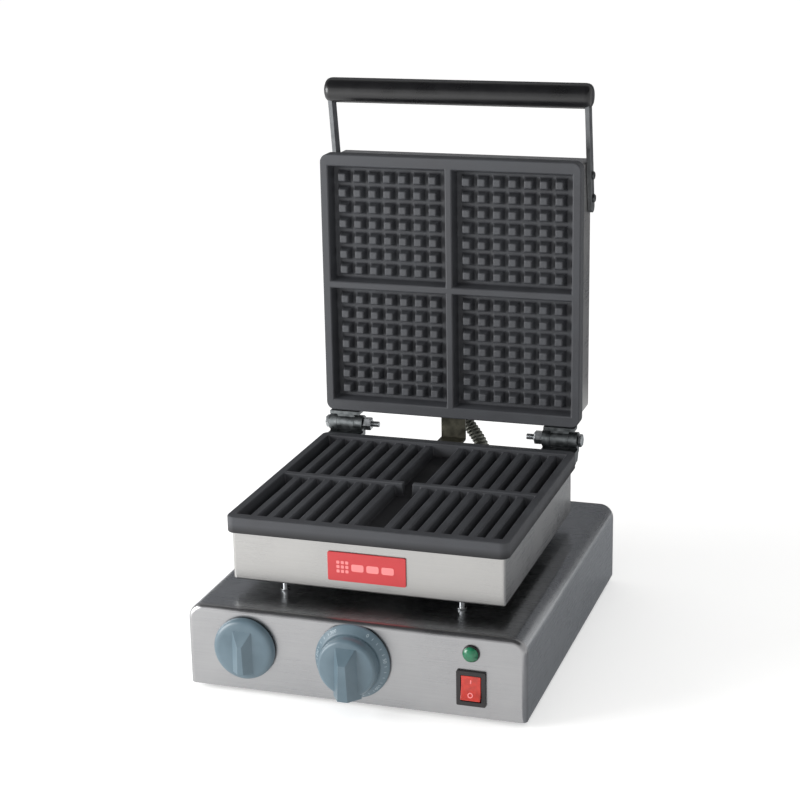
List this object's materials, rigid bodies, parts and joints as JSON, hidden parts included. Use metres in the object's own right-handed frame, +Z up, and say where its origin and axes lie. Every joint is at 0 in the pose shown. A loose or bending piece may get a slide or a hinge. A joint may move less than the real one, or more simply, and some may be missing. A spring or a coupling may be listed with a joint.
{
  "type": "waffle maker",
  "caption": "Counter-top electric waffle maker: steel control base, square lower baking unit on posts, and a hinged lid with studded plate and bar grip standing open.",
  "frame": {"origin": "middle of the bounding box in plan, on the surface it stands on", "axes": "+Z up, the control panel faces -Y, +X to the right seen from the front; the lid stands open"},
  "size_m": [0.3, 0.3866, 0.4872],
  "materials": {
    "stainless": "brushed stainless sheet",
    "hinge_steel": "dull zinc-plated steel",
    "fastener_steel": "bright plated fasteners",
    "bracket_steel": "heat-tinted stainless strip",
    "cast_plate": "seasoned cast iron",
    "bakelite": "black moulded phenolic, satin",
    "knob_plastic": "slate blue-grey moulded plastic",
    "foot_rubber": "black rubber",
    "mineral_wool": "pressed mineral wool board",
    "heater_sheath": "oxidised heater sheath",
    "lamp_green": "translucent green plastic",
    "rocker_red": "translucent red plastic",
    "badge_red": "printed red plate",
    "switch_black": "black nylon",
    "ceramic": "glazed ceramic"
  },
  "bodies": {
    "base": {"base_cover": "stainless", "front_panel": "stainless", "rear_panel": "stainless", "bottom_plate": "stainless", "lower_housing": "stainless", "post_front_left": "fastener_steel", "post_front_right": "fastener_steel", "post_rear_left": "fastener_steel", "post_rear_right": "fastener_steel", "hinge_bolt_left": "fastener_steel", "hinge_bolt_right": "fastener_steel", "hinge_nut_left": "fastener_steel", "hinge_nut_right": "fastener_steel", "foot_front_left": "foot_rubber", "foot_front_right": "foot_rubber", "foot_rear_left": "foot_rubber", "foot_rear_right": "foot_rubber", "timer_body": "ceramic", "thermostat_body": "ceramic", "terminal_block": "ceramic", "indicator_body": "switch_black", "switch_body": "switch_black", "gland_body": "switch_black", "gland_nut": "switch_black", "indicator_lens": "lamp_green", "thermostat_bulb": "hinge_steel", "lower_clamp_bar": "hinge_steel", "lower_hinge_left": "hinge_steel", "lower_hinge_right": "hinge_steel", "conduit_lower_fitting": "hinge_steel", "conduit": "hinge_steel", "lower_plate": "cast_plate", "lower_element": "heater_sheath", "lower_insulation": "mineral_wool", "badge": "badge_red", "lid_stop_bracket": "bracket_steel"},
    "lid": {"upper_housing": "stainless", "upper_plate": "cast_plate", "upper_element": "heater_sheath", "upper_insulation": "mineral_wool", "upper_clamp_bar": "hinge_steel", "upper_hinge_left": "hinge_steel", "upper_hinge_right": "hinge_steel", "handle_arm_left": "hinge_steel", "handle_arm_right": "hinge_steel", "conduit_upper_fitting": "hinge_steel", "arm_screw_left_low": "fastener_steel", "arm_screw_left_high": "fastener_steel", "arm_screw_right_low": "fastener_steel", "arm_screw_right_high": "fastener_steel", "handle_grip": "bakelite"},
    "timer_control": {"timer_shaft": "hinge_steel", "timer_knob": "knob_plastic"},
    "thermostat_control": {"thermostat_shaft": "hinge_steel", "thermostat_dial": "knob_plastic", "thermostat_knob": "knob_plastic"},
    "rocker": {"switch_rocker": "rocker_red"}
  },
  "joints": [
    {"name": "lid_hinge", "type": "hinge", "parent": "base", "child": "lid", "pos_m": [0, 0.1344, 0.15475], "axis": [1, 0, 0], "range_deg": [0, 90], "deforming": ["conduit"]},
    {"name": "timer_turn", "type": "hinge", "parent": "base", "child": "timer_control", "pos_m": [-0.0969, -0.16325, 0.04405], "axis": [0, 1, 0], "range_deg": [0, 330]},
    {"name": "thermostat_turn", "type": "hinge", "parent": "base", "child": "thermostat_control", "pos_m": [0.0005, -0.16325, 0.04405], "axis": [0, 1, 0], "range_deg": [0, 270]},
    {"name": "switch_rock", "type": "hinge", "parent": "base", "child": "rocker", "pos_m": [0.10335, -0.15975, 0.03128], "axis": [1, 0, 0], "range_deg": [0, 16]}
  ]
}
